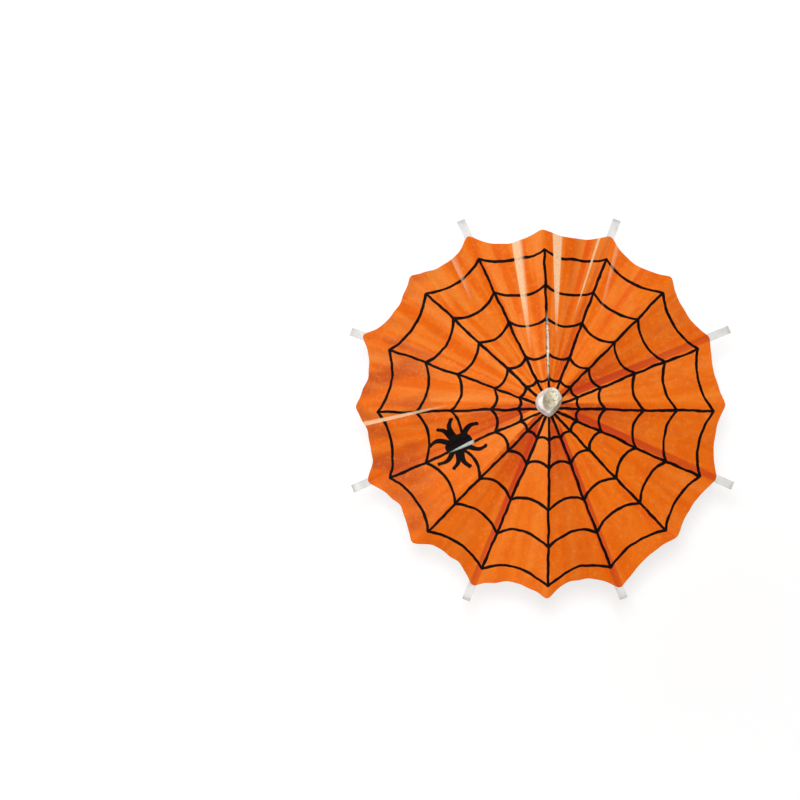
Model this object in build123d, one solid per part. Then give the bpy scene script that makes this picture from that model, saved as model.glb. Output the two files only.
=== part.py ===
from build123d import *
import math
import os

# A cocktail umbrella: a paper parasol on a wooden pick, open, standing on its point.
# The pick runs along +Z with the tip of its point at the origin. Millimetres and degrees.

# Wooden pick
stem_radius = 1.0
foot_radius = 0.95
foot_length = 30.0
foot_blend_length = 2.0
point_length = 9.0
point_tip_radius = 0.15
hinge_height = 93.0

# Bead on top
cap_radius = 3.65
cap_height = 5.2
cap_base_radius = 2.5
cap_top_radius = 2.6
cap_bore_depth = 3.2
cap_belly_height = 2.4
cap_belly_band = 1.4
# Flats whittled on the bead: azimuth, tilt above level, depth
cap_flats = (
    (-40, 15, 1.35),
    (-128, 10, 0.68),
    (128, 20, 1.1),
    (156, 6, 0.58),
    (180, 4, 0.44),
    (-160, 8, 0.5),
    (-9, 8, 0.7),
    (30, 8, 0.3),
    (100, 8, 0.3),
    (195, 60, 0.9),
)
# The flat on top, and the dish that a gouge has left in it
cap_top_flat = (77, 80, 1.6)
cap_dish_length = 5.6
cap_dish_width = 3.6
cap_dish_depth = 0.5

# Folding frame
rib_count = 8
first_rib_azimuth = 22.5
rib_slope = 17.0
hinge_radius = 2.0
rib_length = 51.6
rib_width = 2.0
rib_thickness = 0.6
strip_tongue_width = 0.6
strip_flare_length = 5.5
tie_distance = 20.0
stretcher_width = 1.2
stretcher_thickness = 0.6

# Threads
thread_radius = 0.1
thread_sides = 8

# Notched hub and runner
collar_radius = 2.55
collar_edge_chamfer = 0.15
hub_rise = 0.32
hub_drop = 1.6
runner_rise = 1.0
runner_drop = 2.0

# Rolled sleeve and ring under the runner
sleeve_radius = 1.85
sleeve_length = 10.0
sleeve_lap = 0.12
ring_radius = 2.1
ring_height = 1.8
ring_edge_chamfer = 0.25

# Paper canopy
paper_thickness = 0.12
paper_tip_radius = 46.5
paper_inner_radius = 2.95
pleat_rise = 10.0
scallop_sag = 2.2
scallop_tip_rounding = 1.8
crown_radius = 3.75

# Clearances
glue_gap = 0.03
thread_clearance = 0.04
tongue_clearance = 0.08
slot_clearance = 0.15
tie_clearance = 0.15
slide_clearance = 0.08
rest_gap = 0.05
crease_setback = 0.24
ridge_setback = 0.1
crown_clearance = 0.1

# Linkage: the tie and the two hinges make an isosceles triangle, so the runner stays on the pick
thread_hole_radius = thread_radius + thread_clearance
tie_drop = rib_thickness / 2 + stretcher_thickness / 2 + tie_clearance
stretcher_length = math.hypot(tie_distance, tie_drop)
link_slope = rib_slope + math.degrees(math.atan2(tie_drop, tie_distance))
runner_height = hinge_height - 2 * stretcher_length * math.sin(math.radians(link_slope))
slot_width = strip_tongue_width + 2 * tongue_clearance
rib_tongue_length = hub_drop + rib_thickness
stretcher_tongue_length = runner_rise + stretcher_thickness

# Paper: creases run out from one apex on the axis, valleys over the ribs and ridges between them
slope = math.radians(rib_slope)
rise = math.radians(pleat_rise)
half_pitch = math.radians(180 / rib_count)
paper_height = rib_thickness / 2 + glue_gap
apex_height = hinge_height + paper_height / math.cos(slope) + hinge_radius * math.tan(slope)
ridge_spread = math.cos(rise) - math.tan(half_pitch) * math.sin(slope) * math.sin(rise)
facet_angle = math.atan2(math.tan(half_pitch) * math.cos(slope), ridge_spread)
ridge_fall = math.sin(slope) * math.cos(facet_angle)
ridge_fall -= math.cos(slope) * math.sin(rise) * math.sin(facet_angle)
ridge_slope = math.asin(ridge_fall)
valley_length = paper_tip_radius / math.cos(slope)
ridge_length = paper_tip_radius / math.cos(ridge_slope)

# Crown and bead stack on the paper
crown_lift = paper_thickness / math.cos(slope) + crown_clearance
crown_bore_radius = (stem_radius + glue_gap) / math.cos(half_pitch / 2)
crown_top_height = apex_height + crown_lift + paper_thickness - crown_bore_radius * math.tan(ridge_slope)
cap_base_height = crown_top_height + glue_gap
stem_height = cap_base_height + cap_bore_depth - glue_gap


def azimuth(index):
    return first_rib_azimuth + 360 * index / rib_count


def revolved(*points):
    return revolve(Plane.XZ * make_face(Polyline(*points, close=True)), Axis.Z)


def stem():
    foot_end = point_length + foot_length
    return revolved(
        (0, 0),
        (point_tip_radius, 0),
        (foot_radius, point_length),
        (foot_radius, foot_end),
        (stem_radius, foot_end + foot_blend_length),
        (stem_radius, stem_height),
        (0, stem_height),
    )


# A frame on one of the bead's flats, with X straight out of it.
def flat_place(turn, tilt, depth):
    return Pos(0, 0, cap_belly_height) * Rot(0, 0, turn) * Rot(0, -tilt, 0) * Pos(cap_radius - depth, 0, 0)


# A turned bead, whittled in slanting flats and dished on top, with a blind hole for the pick.
def cap():
    bead = revolved(
        (0, 0),
        (cap_base_radius, 0),
        (cap_radius, cap_belly_height - cap_belly_band / 2),
        (cap_radius, cap_belly_height + cap_belly_band / 2),
        (cap_top_radius, cap_height),
        (0, cap_height),
    )
    block = 4 * cap_radius
    for flat in (*cap_flats, cap_top_flat):
        bead -= flat_place(*flat) * Pos(block / 2, 0, 0) * Box(block, block, block)
    gouge_reach = (cap_dish_length ** 2 / 4 + cap_dish_depth ** 2) / (2 * cap_dish_depth)
    gouge_radius = (cap_dish_width ** 2 / 4 + cap_dish_depth ** 2) / (2 * cap_dish_depth)
    gouge = Rot(90, 0, 0) * Torus(gouge_reach - gouge_radius, gouge_radius)
    bead -= flat_place(*cap_top_flat) * Pos(gouge_reach - cap_dish_depth, 0, 0) * gouge
    bore = Cylinder(stem_radius + glue_gap, cap_bore_depth, align=(Align.CENTER, Align.CENTER, Align.MIN))
    return Pos(0, 0, cap_base_height) * (bead - bore)


# A point of the sheet's middle, on a valley crease for angle zero and on a ridge half a pitch from it.
def crease_point(radius, angle, fall):
    return Vector(radius * math.cos(angle), radius * math.sin(angle), -radius * math.tan(fall))


# The middle of the sheet, pleated like the rest and pinched under the bead.
def canopy_crown():
    outline = Polyline(
        crease_point(crown_bore_radius, 0, slope),
        crease_point(crown_radius, 0, slope),
        crease_point(crown_radius, half_pitch, ridge_slope),
        crease_point(crown_bore_radius, half_pitch, ridge_slope),
        close=True,
    )
    facet = extrude(make_face(outline), paper_thickness, dir=(0, 0, 1))
    pleat = facet + mirror(facet, Plane.XZ)
    crown = Part() + [Rot(0, 0, azimuth(index)) * pleat for index in range(rib_count)]
    return Pos(0, 0, apex_height + crown_lift) * crown


# A collar with a slot for each strip and a groove for the thread, its hinges at height zero.
def slotted_collar(rise_above, drop_below, bore_radius):
    height = rise_above + drop_below
    collar = Cylinder(collar_radius, height, align=(Align.CENTER, Align.CENTER, Align.MIN))
    collar = chamfer(collar.edges().filter_by(GeomType.CIRCLE), collar_edge_chamfer)
    collar = Pos(0, 0, -drop_below) * collar
    collar -= Cylinder(bore_radius, 4 * height)
    slot_floor = hinge_radius - max(rib_thickness, stretcher_thickness) / 2 - slot_clearance
    slot_run = 2 * (collar_radius - slot_floor)
    for index in range(rib_count):
        slot = Pos(slot_floor + slot_run / 2, 0, 0) * Box(slot_run, slot_width, 4 * height)
        collar -= Rot(0, 0, azimuth(index)) * slot
    groove_floor = hinge_radius - thread_radius - thread_clearance
    groove_height = 2 * (thread_radius + thread_clearance)
    collar -= Cylinder(2 * collar_radius, groove_height) - Cylinder(groove_floor, groove_height)
    return collar


# Thread pulled tight round a closed path, begun partway along its first straight run.
def thread_along(path, start):
    section = Plane(path @ start, z_dir=path % start) * RegularPolygon(thread_radius, thread_sides)
    return sweep(section, path=path, transition=Transition.RIGHT)


# One loop of thread, its straight runs crossing the slots as hinge pins.
def thread_ring():
    loop = RegularPolygon(hinge_radius, rib_count, major_radius=False)
    loop = Rot(0, 0, first_rib_azimuth - 180 / rib_count) * loop
    return thread_along(loop.face().outer_wire(), 0.5 / rib_count)


# A flat strip along +X whose narrow tongue turns on a thread at the origin.
def tongued_strip(length, width, thickness, tongue_length):
    outline = Polyline(
        (0, strip_tongue_width / 2),
        (tongue_length, strip_tongue_width / 2),
        (tongue_length + strip_flare_length, width / 2),
        (length, width / 2),
        (length, -width / 2),
        (tongue_length + strip_flare_length, -width / 2),
        (tongue_length, -strip_tongue_width / 2),
        (0, -strip_tongue_width / 2),
        close=True,
    )
    strip = extrude(make_face(outline), thickness / 2, both=True)
    strip += Rot(90, 0, 0) * Cylinder(thickness / 2, strip_tongue_width)
    return strip - Rot(90, 0, 0) * Cylinder(thread_hole_radius, 2 * width)


# The rib is notched at its sides and across its top, where the tie goes round it.
def rib():
    strip = tongued_strip(rib_length, rib_width, rib_thickness, rib_tongue_length)
    notch_width = 2 * (thread_radius + thread_clearance)
    notch = Pos(tie_distance, 0, 0) * Box(notch_width, 2 * rib_width, 2 * rib_thickness)
    notch -= Pos(tie_distance, 0, 0) * Box(notch_width, rib_width - 2 * notch_width, 4 * rib_thickness)
    groove_floor = rib_thickness / 2 - notch_width
    groove = Pos(tie_distance, 0, groove_floor + rib_thickness / 2)
    groove *= Box(notch_width, 2 * rib_width, rib_thickness)
    return strip - notch - groove


def rib_thread():
    side = rib_width / 2 - thread_radius - thread_clearance
    top = rib_thickness / 2 - thread_radius - thread_clearance
    loop = Plane.YZ * Pos(0, (top - tie_drop) / 2) * Rectangle(2 * side, top + tie_drop)
    return Pos(tie_distance, 0, 0) * thread_along(loop.face().outer_wire(), 0.1)


def stretcher():
    strip = tongued_strip(stretcher_length, stretcher_width, stretcher_thickness, stretcher_tongue_length)
    tie = Pos(stretcher_length, 0, 0) * Rot(90, 0, 0)
    strip += tie * Cylinder(stretcher_thickness / 2, stretcher_width)
    return strip - tie * Cylinder(thread_hole_radius, 2 * stretcher_width)


# A strip of thin paper rolled round the pick, its outer end showing as a small step.
def paper_sleeve():
    outer = sleeve_radius
    inner = sleeve_radius - sleeve_lap
    roll = [
        ThreePointArc((outer, 0), (0, outer), (-outer, 0)),
        ThreePointArc((-outer, 0), (-sleeve_lap / 2, -(outer + inner) / 2), (inner, 0)),
        Line((inner, 0), (outer, 0)),
    ]
    face = make_face(roll) - Circle(stem_radius + slide_clearance)
    return Pos(0, 0, runner_height - runner_drop) * extrude(face, -sleeve_length)


def retaining_ring():
    ring = Cylinder(ring_radius, ring_height, align=(Align.CENTER, Align.CENTER, Align.MAX))
    ring = chamfer(ring.edges().filter_by(GeomType.CIRCLE), ring_edge_chamfer)
    ring -= Cylinder(stem_radius + slide_clearance, 4 * ring_height)
    return Pos(0, 0, runner_height - runner_drop - sleeve_length - rest_gap) * ring


def polar(distance, angle):
    return Vector(distance * math.cos(angle), distance * math.sin(angle))


# One flat facet of paper, its valley crease along +X from the apex and its ridge to the left of it.
def paper_facet():
    tips = [
        polar(ridge_length, -facet_angle),
        polar(valley_length, 0),
        polar(ridge_length, facet_angle),
        polar(valley_length, 2 * facet_angle),
    ]
    apex = Vector(0, 0)
    edges = [Line(apex, tips[0])]
    for start, end in zip(tips, tips[1:]):
        middle = (start + end) * 0.5
        edges.append(ThreePointArc(start, middle - middle.normalized() * scallop_sag, end))
    edges.append(Line(tips[-1], apex))
    sheet = make_face(edges)
    corners = [sheet.vertices().sort_by_distance(tip)[0] for tip in tips[1:3]]
    sheet = fillet(corners, scallop_tip_rounding)
    far = 2 * valley_length
    sheet -= Pos(0, crease_setback - far) * Rectangle(2 * far, 2 * far)
    ridge = Rot(0, 0, math.degrees(facet_angle))
    sheet -= ridge * Pos(0, far - ridge_setback) * Rectangle(2 * far, 2 * far)
    sheet -= Circle(paper_inner_radius / math.cos(slope))
    return extrude(sheet, paper_thickness)


def save(shape, name):
    shape.label = name
    export_step(shape, f"parts/{name}.step")


os.makedirs("parts", exist_ok=True)

save(stem(), "stem")
save(cap(), "cap")
save(canopy_crown(), "canopy_crown")

at_hub = Pos(0, 0, hinge_height)
save(at_hub * slotted_collar(hub_rise, hub_drop, stem_radius + glue_gap), "top_hub")
save(at_hub * thread_ring(), "hub_thread")

at_runner = Pos(0, 0, runner_height)
save(at_runner * slotted_collar(runner_rise, runner_drop, stem_radius + slide_clearance), "runner")
save(at_runner * thread_ring(), "runner_thread")
save(paper_sleeve(), "paper_sleeve")
save(retaining_ring(), "retaining_ring")

rib_place = Pos(hinge_radius, 0, hinge_height) * Rot(0, rib_slope, 0)
stretcher_place = Pos(hinge_radius, 0, runner_height) * Rot(0, -link_slope, 0)
paper_place = Pos(0, 0, apex_height) * Rot(0, rib_slope, 0)

rib_solid = rib_place * rib()
tie_solid = rib_place * rib_thread()
stretcher_solid = stretcher_place * stretcher()
left_facet = Rot(pleat_rise, 0, 0) * paper_facet()
right_facet = mirror(left_facet, Plane.XZ)

for index in range(rib_count):
    turn = Rot(0, 0, azimuth(index))
    number = index + 1
    save(turn * rib_solid, f"rib_{number}")
    save(turn * tie_solid, f"rib_thread_{number}")
    save(turn * stretcher_solid, f"stretcher_{number}")
    save(turn * paper_place * left_facet, f"paper_panel_{number}_left")
    save(turn * paper_place * right_facet, f"paper_panel_{number}_right")

print(f"runner height {runner_height:.4f}")
print(f"apex height {apex_height:.4f}")
print(f"tie drop {tie_drop:.4f}")
print(f"stem height {stem_height:.4f}")
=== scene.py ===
import math
import random

import bmesh
import bpy
from mathutils import Matrix, Vector, noise as field


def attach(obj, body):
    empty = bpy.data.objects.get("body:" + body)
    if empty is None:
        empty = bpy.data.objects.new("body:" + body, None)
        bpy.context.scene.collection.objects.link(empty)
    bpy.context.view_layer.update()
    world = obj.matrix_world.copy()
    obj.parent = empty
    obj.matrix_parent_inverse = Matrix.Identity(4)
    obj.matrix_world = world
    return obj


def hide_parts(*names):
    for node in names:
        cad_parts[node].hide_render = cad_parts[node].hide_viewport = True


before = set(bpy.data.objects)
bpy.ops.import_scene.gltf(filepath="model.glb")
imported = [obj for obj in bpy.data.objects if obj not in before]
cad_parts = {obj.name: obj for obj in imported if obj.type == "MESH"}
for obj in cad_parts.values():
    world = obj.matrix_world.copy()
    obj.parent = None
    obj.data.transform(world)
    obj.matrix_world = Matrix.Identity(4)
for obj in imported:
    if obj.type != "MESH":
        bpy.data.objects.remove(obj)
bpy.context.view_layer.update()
print("frame loaded,", len(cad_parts), "nodes")

# Everything is worked out in millimetres and written into the meshes in metres.
mm = 0.001
flatten = (1.0, 1.0, 0.0)


def smooth(value, low, high):
    t = min(1.0, max(0.0, (value - low) / (high - low)))
    return t * t * (3 - 2 * t)


# Radius of an arc, from half its chord and its sag
def bowRadius(half, sag):
    return (half * half + sag * sag) / (2 * sag)


# Node helpers, for shaders and geometry alike: a value is a number or another node's socket,
# and a new node goes into the tree that the sockets belong to
def treeOf(values):
    return next(value.id_data for value in values if isinstance(value, bpy.types.NodeSocket))


def addNode(tree, kind, **settings):
    node = tree.nodes.new(kind)
    for name, value in settings.items():
        setattr(node, name, value)
    return node


def feed(socket, value):
    if isinstance(value, bpy.types.NodeSocket):
        socket.id_data.links.new(value, socket)
    else:
        socket.default_value = value


def feedRow(sockets, values):
    for socket, value in zip(sockets, values):
        feed(socket, value)


def feedNamed(sockets, values):
    for name, value in values.items():
        feed(sockets[name], value)


def useNode(tree, kind, values, **settings):
    node = addNode(tree, kind, **settings)
    feedNamed(node.inputs, values)
    return node.outputs[0]


def calc(operation, *values, clamp=False):
    node = addNode(treeOf(values), "ShaderNodeMath", operation=operation, use_clamp=clamp)
    feedRow(node.inputs, values)
    return node.outputs[0]


def chain(operation, values, *more):
    total = values[0]
    for value in values[1:]:
        total = calc(operation, total, value, *more)
    return total


def times(*values):
    return chain("MULTIPLY", values)


def plus(first, second):
    return calc("ADD", first, second)


def minus(first, second):
    return calc("SUBTRACT", first, second)


def vecCalc(operation, *values):
    node = addNode(treeOf(values), "ShaderNodeVectorMath", operation=operation)
    sockets = [node.inputs[0], node.inputs["Scale"]] if operation == "SCALE" else node.inputs
    feedRow(sockets, values)
    single = operation in ("DOT_PRODUCT", "LENGTH", "DISTANCE")
    return node.outputs["Value" if single else "Vector"]


# By one amount, or by a tuple with one amount for each axis
def scaled(vector, amount):
    return vecCalc("MULTIPLY" if isinstance(amount, tuple) else "SCALE", vector, amount)


def shifted(vector, offset):
    return vecCalc("ADD", vector, offset)


def dot(first, second):
    return vecCalc("DOT_PRODUCT", first, second)


def splitAxes(vector):
    node = addNode(vector.id_data, "ShaderNodeSeparateXYZ")
    feed(node.inputs[0], vector)
    return node.outputs


def joinAxes(**axes):
    return useNode(treeOf(axes.values()), "ShaderNodeCombineXYZ", axes)


# Turn round Z, from +X
def turnOf(vector):
    axes = splitAxes(vector)
    return calc("ARCTAN2", axes["Y"], axes["X"])


def fade(value, low, high, start=0.0, end=1.0):
    node = addNode(value.id_data, "ShaderNodeMapRange", interpolation_type="SMOOTHSTEP")
    feedRow(node.inputs, (value, low, high, start, end))
    return node.outputs[0]


def blendColour(factor, first, second, mode="MIX"):
    node = addNode(treeOf((factor, first, second)), "ShaderNodeMix", data_type="RGBA", blend_type=mode)
    feedNamed(node.inputs, {0: factor, 6: first, 7: second})
    return node.outputs[2]


def speckle(vector, scale, detail=2.0, roughness=0.5, colour=False):
    node = addNode(vector.id_data, "ShaderNodeTexNoise")
    feedNamed(node.inputs, dict(Vector=vector, Scale=scale, Detail=detail, Roughness=roughness))
    return node.outputs["Color" if colour else "Fac"]


def newGroup(name, inputs, outputs, family="Shader"):
    tree = bpy.data.node_groups.new(name, family + "NodeTree")
    for way, sockets in (("INPUT", inputs), ("OUTPUT", outputs)):
        for label, kind in sockets.items():
            tree.interface.new_socket(label, in_out=way, socket_type="NodeSocket" + kind)
    return tree, tree.nodes.new("NodeGroupInput").outputs, tree.nodes.new("NodeGroupOutput").inputs


def useGroup(group, **values):
    node = addNode(treeOf(values.values()), "ShaderNodeGroup", node_tree=group)
    feedNamed(node.inputs, values)
    return node.outputs


def newMaterial(name):
    material = bpy.data.materials.new(name)
    material.use_nodes = True
    tree = material.node_tree
    place = tree.nodes.new("ShaderNodeTexCoord").outputs["Object"]
    return material, tree.nodes["Principled BSDF"], scaled(place, 1 / mm)


# Relief is a height, its strength and its depth
def finishLook(shader, colour, roughness, relief, extra=None):
    height, strength, depth = relief
    bump = dict(Height=height, Strength=strength, Distance=depth * mm)
    normal = useNode(height.id_data, "ShaderNodeBump", bump)
    looks = {"Base Color": colour, "Roughness": roughness, "Normal": normal}
    feedNamed(shader.inputs, {**looks, **(extra or {})})


# Fibres and clouding of paper and card
def makeFibreGrain():
    tree, given, result = newGroup("fibreGrain", dict(Point="Vector", Fineness="Float"),
                                   dict(Cloud="Float", Fleck="Float", Height="Float"))
    fine = scaled(given["Point"], given["Fineness"])
    fleck = speckle(fine, 3.2, 4.0, 0.65)
    wander = speckle(fine, 0.9, colour=True)
    bent = shifted(fine, scaled(wander, 1.6))
    hair = speckle(scaled(bent, (0.9, 5.0, 2.0)), 1.0, 2.0, 0.55)
    height = plus(times(fleck, 0.6), times(hair, 0.7))
    feedNamed(result, dict(Cloud=speckle(fine, 0.22, 3.0, 0.6), Fleck=fleck, Height=height))
    return tree


# Long fine grain of split wood, along Z
def makeWoodGrain():
    tree, given, result = newGroup("woodGrain", dict(Point="Vector", Fineness="Float"),
                                   dict(Stripe="Float", Pore="Float", Height="Float"))
    fine = scaled(given["Point"], given["Fineness"])
    sway = speckle(scaled(fine, (0.5, 0.5, 0.05)), 1.0, colour=True)
    bent = shifted(fine, scaled(sway, 0.8))
    stripe = speckle(scaled(bent, (2.6, 2.6, 0.07)), 1.0, 3.0, 0.6)
    pore = speckle(scaled(bent, (9.0, 9.0, 0.35)), 1.0, 2.0, 0.6)
    feedNamed(result, dict(Stripe=fade(stripe, 0.35, 0.68), Pore=fade(pore, 0.56, 0.72),
                           Height=minus(stripe, times(pore, 0.8))))
    return tree


# Distance from a straight stroke whose half width changes from one end to the other
def makeStrokeMark():
    tree, given, result = newGroup(
        "strokeMark", dict(Point="Vector", Start="Vector", End="Vector", StartHalf="Float", EndHalf="Float"),
        dict(Distance="Float", Along="Float", Across="Float"))
    away = vecCalc("SUBTRACT", given["Point"], given["Start"])
    run = vecCalc("SUBTRACT", given["End"], given["Start"])
    along = calc("DIVIDE", dot(away, run), dot(run, run), clamp=True)
    gap = vecCalc("DISTANCE", away, scaled(run, along))
    growth = minus(given["EndHalf"], given["StartHalf"])
    half = calc("MULTIPLY_ADD", along, growth, given["StartHalf"])
    # left of the run is positive, one at the edge
    turned = vecCalc("CROSS_PRODUCT", vecCalc("NORMALIZE", run), away)
    across = calc("DIVIDE", splitAxes(turned)["Z"], half)
    feedNamed(result, dict(Distance=minus(gap, half), Along=along, Across=across))
    return tree


fibreGrain = makeFibreGrain()
woodGrain = makeWoodGrain()
strokeMark = makeStrokeMark()

# Printed web: spokes on the creases and five rings of slack arcs, drawn with an unsteady line;
# each ring has a radius and a sag per chord
web = dict(spokes=16, halfLine=0.35, softEdge=0.05, sway=0.8, tremble=0.42, slip=1.3, pressure=(0.88, 1.12),
           rings=((7.75, 0.2), (14.3, 0.2), (23.9, 0.18), (32.4, 0.155), (41.8, 0.125)))


# Past its limit a line is moved out of sight
def stopLine(gap, radius, limit):
    return plus(gap, times(calc("GREATER_THAN", radius, limit), 9.0))


def makeWebPrint():
    tree, given, result = newGroup("webPrint", dict(Point="Vector"), dict(Ink="Float"))
    point = given["Point"]
    for fineness, amount in ((0.13, web["sway"]), (0.42, web["tremble"])):
        noise = speckle(given["Point"], fineness, 1.0, colour=True)
        noise = vecCalc("SUBTRACT", noise, (0.5, 0.5, 0.5))
        point = shifted(point, scaled(noise, amount))
    point = scaled(point, flatten)
    # the sheet slipped a little along its middle when it was printed
    axes = splitAxes(point)
    central = fade(calc("ABSOLUTE", axes["X"]), 1.0, 9.0, 1.0, 0.0)
    distant = fade(calc("ABSOLUTE", axes["Y"]), 6.0, 36.0, 0.0, web["slip"])
    point = shifted(point, joinAxes(Y=times(central, distant)))
    radius = vecCalc("LENGTH", point)
    half = math.pi / web["spokes"]
    folded = calc("PINGPONG", turnOf(point), half)
    across = times(radius, calc("SINE", folded))
    local = joinAxes(X=times(radius, calc("COSINE", folded)), Y=across)
    gaps = [stopLine(across, radius, web["rings"][-1][0])]
    for ring, slack in web["rings"]:
        reach = ring * math.sin(half)
        sag = 2 * reach * slack
        bow = bowRadius(reach, sag)
        far = ring * math.cos(half) - sag + bow
        centre = (far * math.cos(half), far * math.sin(half), 0.0)
        gap = calc("ABSOLUTE", minus(vecCalc("DISTANCE", local, centre), bow))
        gaps.append(stopLine(gap, radius, ring + 0.3))
    light, heavy = (share * web["halfLine"] for share in web["pressure"])
    press = fade(speckle(given["Point"], 0.3), 0.3, 0.7, light, heavy)
    nearest = minus(chain("MINIMUM", gaps), press)
    feed(result["Ink"], fade(nearest, -web["softEdge"], web["softEdge"], 1.0, 0.0))
    return tree


# A plain eight-legged spider on the third ring, its head towards the rim
spider = dict(centre=(-21.7, -9.4), turn=202.7, head=(1.9, 1.45, 1.3), abdomen=(-0.6, 3.0, 2.3), sway=0.25,
              legs=((24, 6.6, 11), (58, 6.0, 10), (93, 6.1, -10), (153, 6.5, -12)),  # angle, length, bow
              root=1.4, thick=0.76, thin=0.52, merge=0.3, softEdge=0.06)


def makeSpiderPrint():
    tree, given, result = newGroup("spiderPrint", dict(Point="Vector"), dict(Ink="Float"))
    flat = scaled(given["Point"], flatten)
    reach = vecCalc("LENGTH", flat)
    wander = times(minus(speckle(flat, 0.2, 1.0), 0.5), spider["sway"])
    turn = plus(calc("ABSOLUTE", turnOf(flat)), wander)
    shapes = []
    for key in ("head", "abdomen"):
        place, long, wide = spider[key]
        offset = vecCalc("SUBTRACT", flat, (place, 0.0, 0.0))
        swell = vecCalc("LENGTH", scaled(offset, (1 / long, 1 / wide, 0.0)))
        shapes.append(times(minus(swell, 1.0), wide))
    # each leg is a bowed line of turn against reach, the same on both sides
    for angle, length, bow in spider["legs"]:
        share = calc("DIVIDE", minus(reach, spider["root"]), length - spider["root"], clamp=True)
        arch = times(share, minus(1.0, share), math.radians(4 * bow))
        off = minus(turn, plus(arch, math.radians(angle)))
        past = calc("MAXIMUM", minus(reach, length), 0.0)
        gap = vecCalc("LENGTH", joinAxes(X=times(reach, off), Y=past))
        half = calc("MULTIPLY_ADD", share, spider["thin"] - spider["thick"], spider["thick"])
        shapes.append(minus(gap, half))
    nearest = chain("SMOOTH_MIN", shapes, spider["merge"])
    feed(result["Ink"], fade(nearest, -spider["softEdge"], spider["softEdge"], 1.0, 0.0))
    return tree


webPrint = makeWebPrint()
spiderPrint = makeSpiderPrint()

# Printed side of the paper; some of its tones are painted shade and painted highlight
paperLook = dict(orange=(0.79, 0.145, 0.001, 1), warm=(0.75, 0.122, 0.0012, 1), deep=(0.64, 0.078, 0.002, 1),
                 lee=(0.5, 0.045, 0.008, 1), umber=(0.47, 0.066, 0.01, 1), shade=(0.54, 0.042, 0.008, 1),
                 shadeRed=(0.74, 0.074, 0.005, 1), glow=(0.83, 0.26, 0.04, 1), pale=(0.9, 0.58, 0.34, 1),
                 worn=(0.82, 0.7, 0.54, 1), glint=(0.55, 0.62, 0.55, 1), ink=(0.004, 0.002, 0.0015, 1),
                 offset=(0.32, -1.4), turn=-0.2, bright=135, ribTurn=22.5, specular=0.06, coatRoughness=0.27)
# Painted fold shade and painted highlight patches in the colour: tone, outer point, inner point, half widths,
# strength, how soft one side is
foldShades = (("shadeRed", (12.9, 43.0), (6.0, 20.3), 1.05, 0.5, 0.85, 0.5),
              ("shadeRed", (27.4, 36.2), (10.4, 13.4), 1.3, 0.5, 0.6, 1.0),
              ("shadeRed", (41.5, 20.6), (17.0, 7.4), 0.9, 0.4, 0.5, 1.0),
              ("shadeRed", (31.0, -32.7), (14.5, -19.0), 0.9, 0.4, 0.6, 1.0),
              ("glow", (-26.9, 34.0), (-20.9, 22.3), 2.3, 1.1, 0.6, 1.0),
              ("glow", (-19.6, 20.0), (-12.8, 11.5), 1.7, 0.7, 0.55, 1.0),
              ("glow", (-27.1, 2.2), (-14.0, 1.8), 1.4, 0.6, 0.5, 1.0),
              ("glow", (-5.3, 21.6), (-2.6, 10.4), 1.2, 0.5, 0.5, 1.0),
              ("lee", (-38.5, 17.4), (-22.0, 10.6), 1.1, 0.7, 0.5, 0.9))
# Narrow fans of painted glare on the folds, over the ink, and a painted glint on the ink, then the rubbed top
# ridge, in the same terms
foldFans = (("pale", (-6.5, 46.5), (-3.5, 11.0), 1.75, 0.2, 0.95, 0.65),
            ("pale", (4.19, 46.5), (2.57, 14.0), 1.58, 0.05, 0.98, 0.25),
            ("pale", (15.6, 44.7), (6.45, 19.2), 0.42, 0.12, 0.95, 0.4),
            ("pale", (-47.0, -4.35), (-22.0, 0.5), 0.72, 0.2, 0.85, 0.5),
            ("pale", (20.6, 43.8), (13.6, 21.0), 0.9, 0.3, 0.35, 1.0),
            ("pale", (-22.0, 38.5), (-17.2, 24.9), 1.1, 0.4, 0.4, 1.0),
            ("glint", (-18.6, -9.2), (-24.4, -11.7), 0.55, 0.1, 0.9, 0.5))
ridgeRub = (("worn", (0.36, 13.0), (0.5, 24.0), 0.42, 0.3, 0.95, 0.6),
            ("worn", (0.4, 13.0), (0.3, 5.2), 0.36, 0.3, 0.95, 0.6))


def paintFans(flat, colour, fans, speckling):
    for tone, start, end, startHalf, endHalf, strength, soft in fans:
        fan = useGroup(strokeMark, Point=flat, Start=(*start, 0.0), End=(*end, 0.0),
                       StartHalf=startHalf, EndHalf=endHalf)
        amount = times(fade(fan["Across"], -1.0, -0.8, 0.0, strength),
                       fade(fan["Across"], 1.0 - 1.5 * soft, 1.05, 1.0, 0.0),
                       fade(fan["Along"], 0.5, 1.0, 1.0, 0.0),
                       fade(fan["Distance"], 0.0, 0.4, 1.0, 0.0), speckling)
        colour = blendColour(amount, colour, paperLook[tone])
    return colour


# Ink of the web and of the spider at a point of the sheet
def printedInk(flat):
    inks = []
    for group, place, turn in ((webPrint, paperLook["offset"], paperLook["turn"]),
                               (spiderPrint, spider["centre"], spider["turn"])):
        values = dict(Vector=flat, Location=(*place, 0.0), Rotation=(0.0, 0.0, math.radians(turn)))
        spot = useNode(flat.id_data, "ShaderNodeMapping", values, vector_type="TEXTURE")
        inks.append(useGroup(group, Point=spot)["Ink"])
    return inks


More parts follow.
